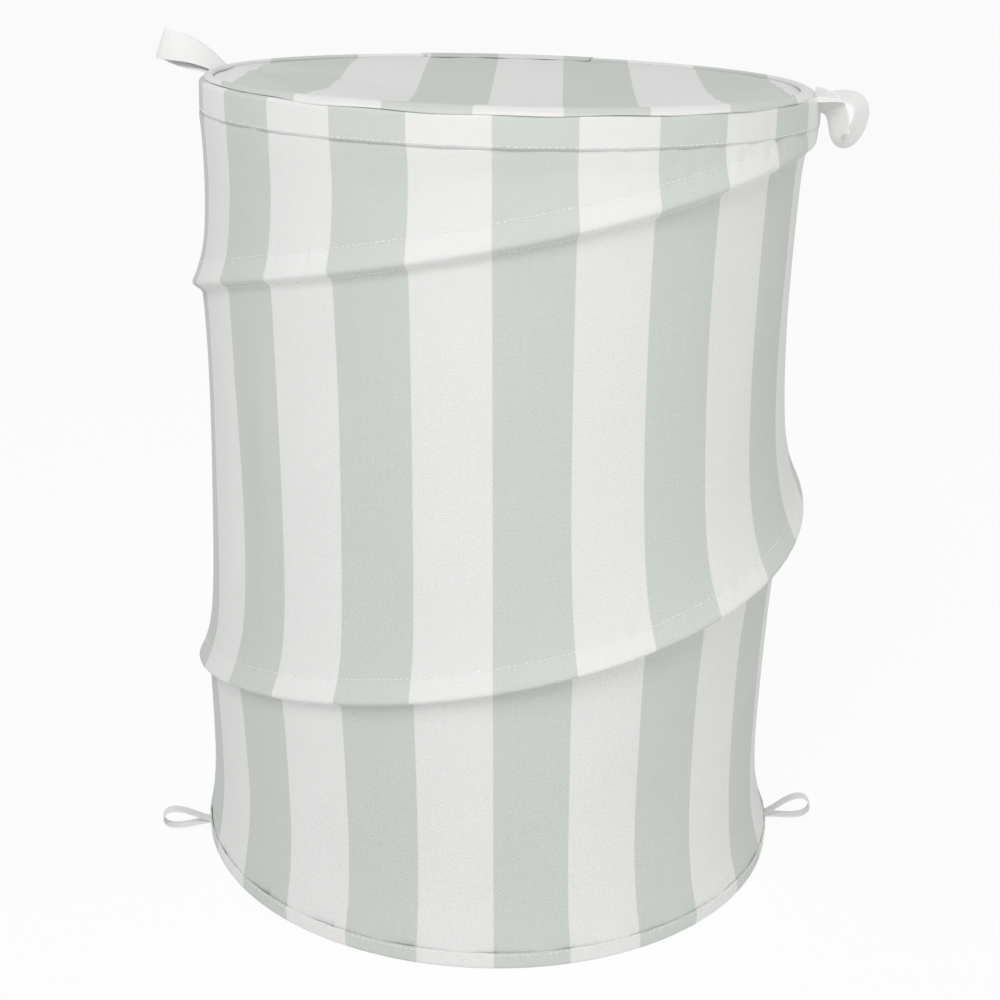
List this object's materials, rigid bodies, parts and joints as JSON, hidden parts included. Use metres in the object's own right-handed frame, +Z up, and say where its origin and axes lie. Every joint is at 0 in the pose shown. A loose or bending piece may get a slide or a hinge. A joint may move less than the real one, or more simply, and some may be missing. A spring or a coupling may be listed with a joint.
{
  "type": "laundry hamper",
  "caption": "Pop-up laundry hamper: a striped cloth cylinder on a spiral spring wire that folds flat, with a round lid hinged at the back and tape loops at rim and base.",
  "frame": {"origin": "middle of the round face the hamper stands on", "axes": "+Z up the hamper's axis towards the lid; -Y is the front, opposite the lid's hinge; +X is to the right seen from the front"},
  "size_m": [0.4669, 0.4, 0.5375],
  "materials": {
    "striped_cotton": "plain-woven polyester-cotton with broad white and pale sage stripes",
    "white_tape": "white woven tape",
    "base_cloth": "plain white woven cloth",
    "spring_steel": "drawn spring wire",
    "crimp_sleeve": "crimped aluminium tube"
  },
  "bodies": {
    "base": {"base_panel": "base_cloth", "bottom_hem": "striped_cotton", "bottom_ring_wire": "spring_steel", "bottom_wire_ferrule": "crimp_sleeve", "base_seam_binding": "white_tape", "wall_fabric": "striped_cotton", "wall_side_seam": "striped_cotton", "spiral_wire": "spring_steel", "spiral_casing": "white_tape"},
    "top_rim": {"top_hem": "striped_cotton", "top_ring_wire": "spring_steel", "top_wire_ferrule": "crimp_sleeve", "rim_hinge_leaf": "striped_cotton"},
    "lid": {"lid_panel": "striped_cotton", "lid_edge_binding": "striped_cotton", "lid_hoop_wire": "spring_steel", "lid_hoop_ferrule": "crimp_sleeve", "lid_hinge_leaf": "striped_cotton"},
    "handle_loop_left": {"handle_loop_left": "white_tape"},
    "handle_loop_right": {"handle_loop_right": "white_tape"},
    "base_loop_left": {"base_loop_left": "white_tape"},
    "base_loop_right": {"base_loop_right": "white_tape"}
  },
  "joints": [
    {"name": "collapse", "type": "slide", "parent": "base", "child": "top_rim", "axis": [0, 0, -1], "range_m": [0, 0.465], "stiffness_N_per_m": 20, "springref_m": -0.25, "deforming": ["wall_fabric", "wall_side_seam", "spiral_wire", "spiral_casing"]},
    {"name": "lid_hinge", "type": "hinge", "parent": "top_rim", "child": "lid", "pos_m": [0, 0.193, 0.51889], "axis": [-1, 0, 0], "range_deg": [0, 180]},
    {"name": "handle_left_swing", "type": "hinge", "parent": "top_rim", "child": "handle_loop_left", "pos_m": [-0.1861, 0.04987, 0.511], "axis": [-0.2588, -0.9659, 0], "range_deg": [-45, 90]},
    {"name": "handle_right_swing", "type": "hinge", "parent": "top_rim", "child": "handle_loop_right", "pos_m": [0.1861, -0.04987, 0.511], "axis": [0.2588, 0.9659, 0], "range_deg": [-90, 45]},
    {"name": "base_left_swing", "type": "hinge", "parent": "base", "child": "base_loop_left", "pos_m": [-0.19671, -0.04181, 0.008], "axis": [0.2079, -0.9781, 0], "range_deg": [-55, 10]},
    {"name": "base_right_swing", "type": "hinge", "parent": "base", "child": "base_loop_right", "pos_m": [0.20062, -0.01403, 0.008], "axis": [0.0698, 0.9976, 0], "range_deg": [-55, 10]}
  ]
}
